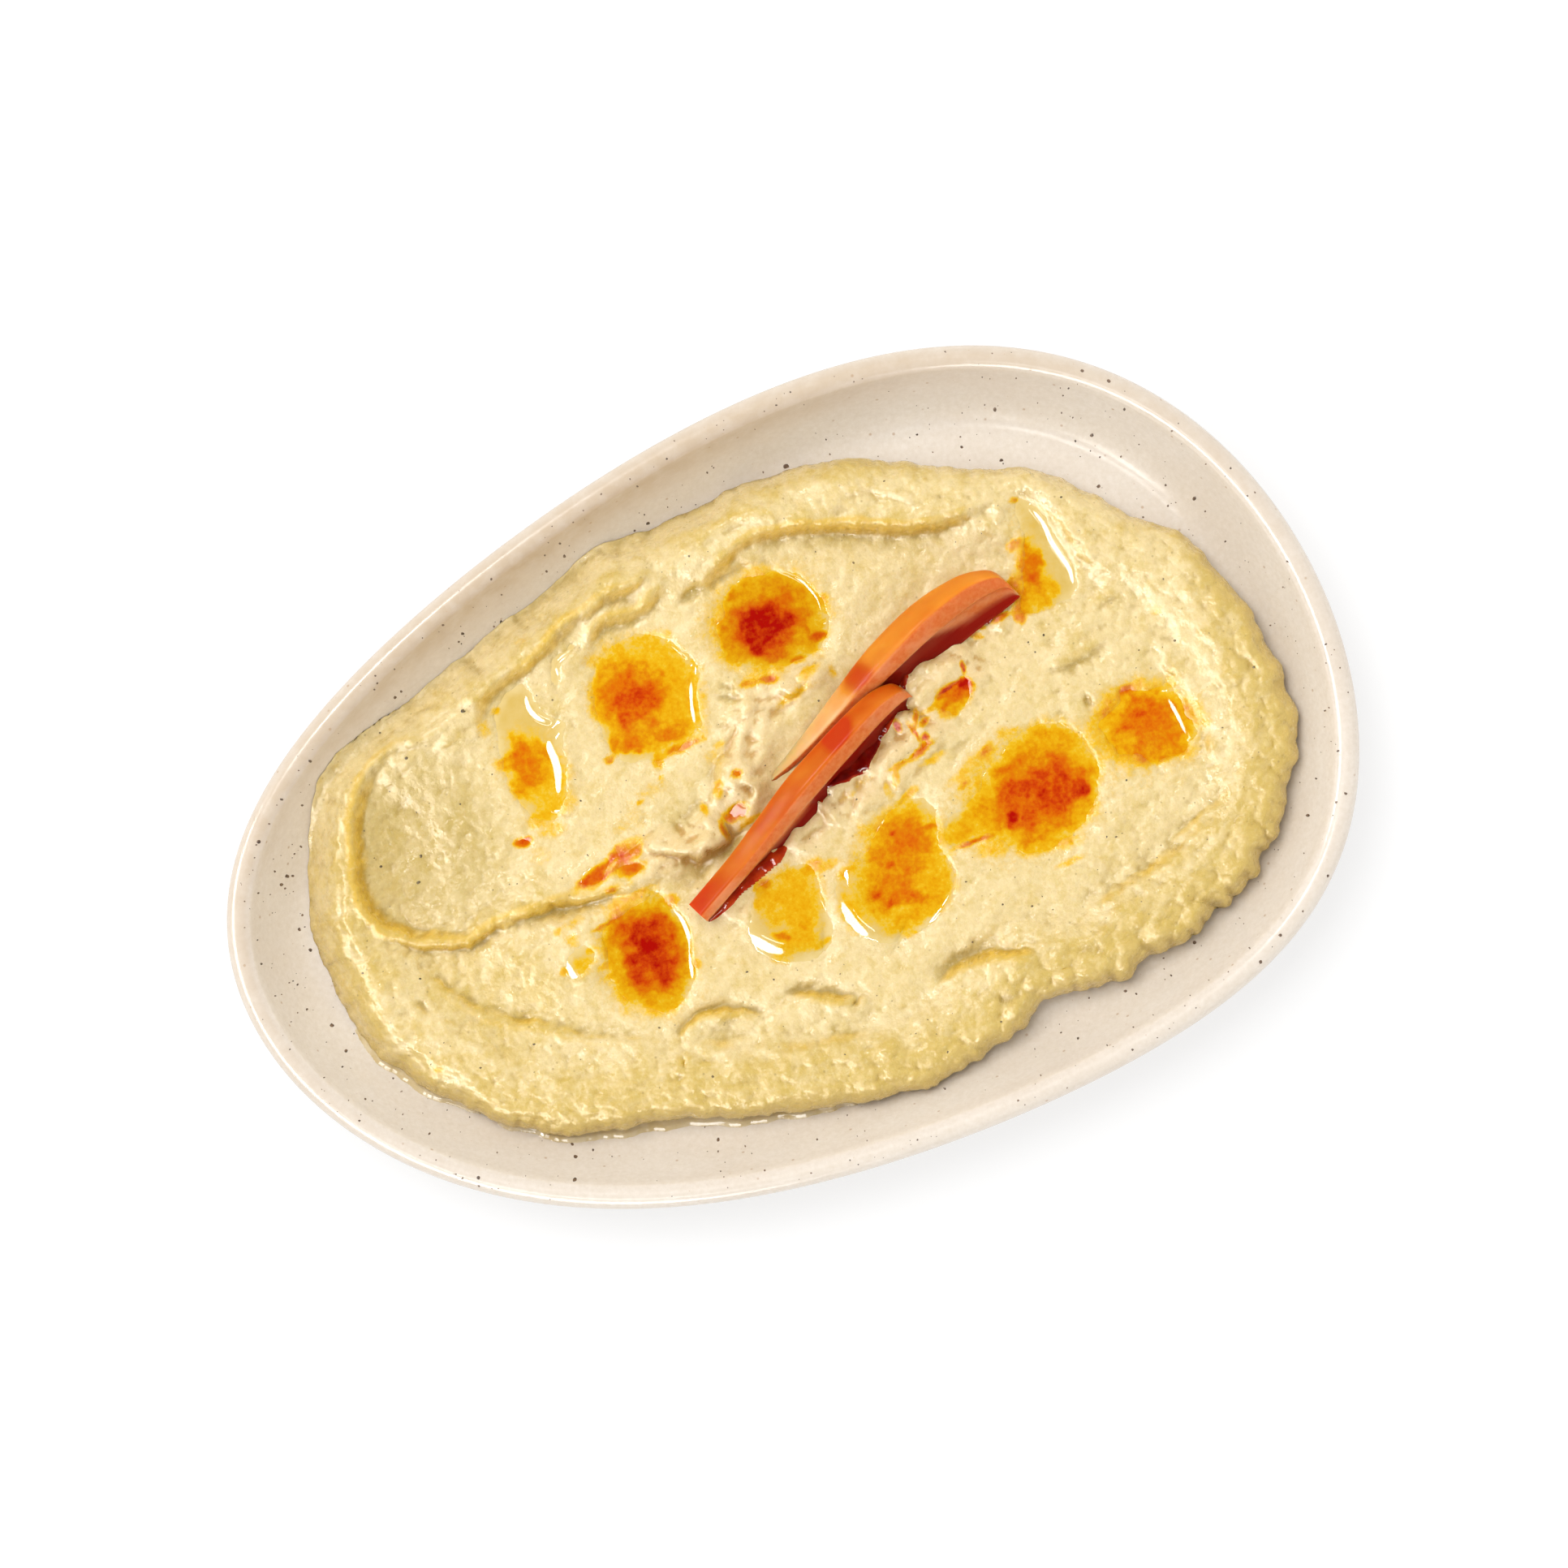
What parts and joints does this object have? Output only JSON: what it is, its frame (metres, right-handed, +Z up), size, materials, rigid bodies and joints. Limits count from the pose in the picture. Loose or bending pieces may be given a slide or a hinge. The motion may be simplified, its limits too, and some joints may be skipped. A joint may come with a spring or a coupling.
{
  "type": "hummus in a dish",
  "caption": "Hummus spread in an egg-shaped speckled stoneware dish, marked by a spoon, with pools of paprika oil and tomato wedges pushed into its middle.",
  "frame": {"origin": "middle of the dish's bounding box, on the table", "axes": "+X along the dish's longest chord, towards its broad end; +Y across it; +Z up"},
  "size_m": [0.2299, 0.1534, 0.0269],
  "materials": {
    "dish_glaze": "satin",
    "hummus_paste": "satin",
    "tomato": "gloss",
    "paprika_oil": "gloss",
    "dark_speck": "matte"
  },
  "bodies": {
    "root": {"dish": "dish_glaze", "hummus": "hummus_paste", "tomato_wedge_upper": "tomato", "tomato_wedge_lower": "tomato"}
  },
  "joints": []
}
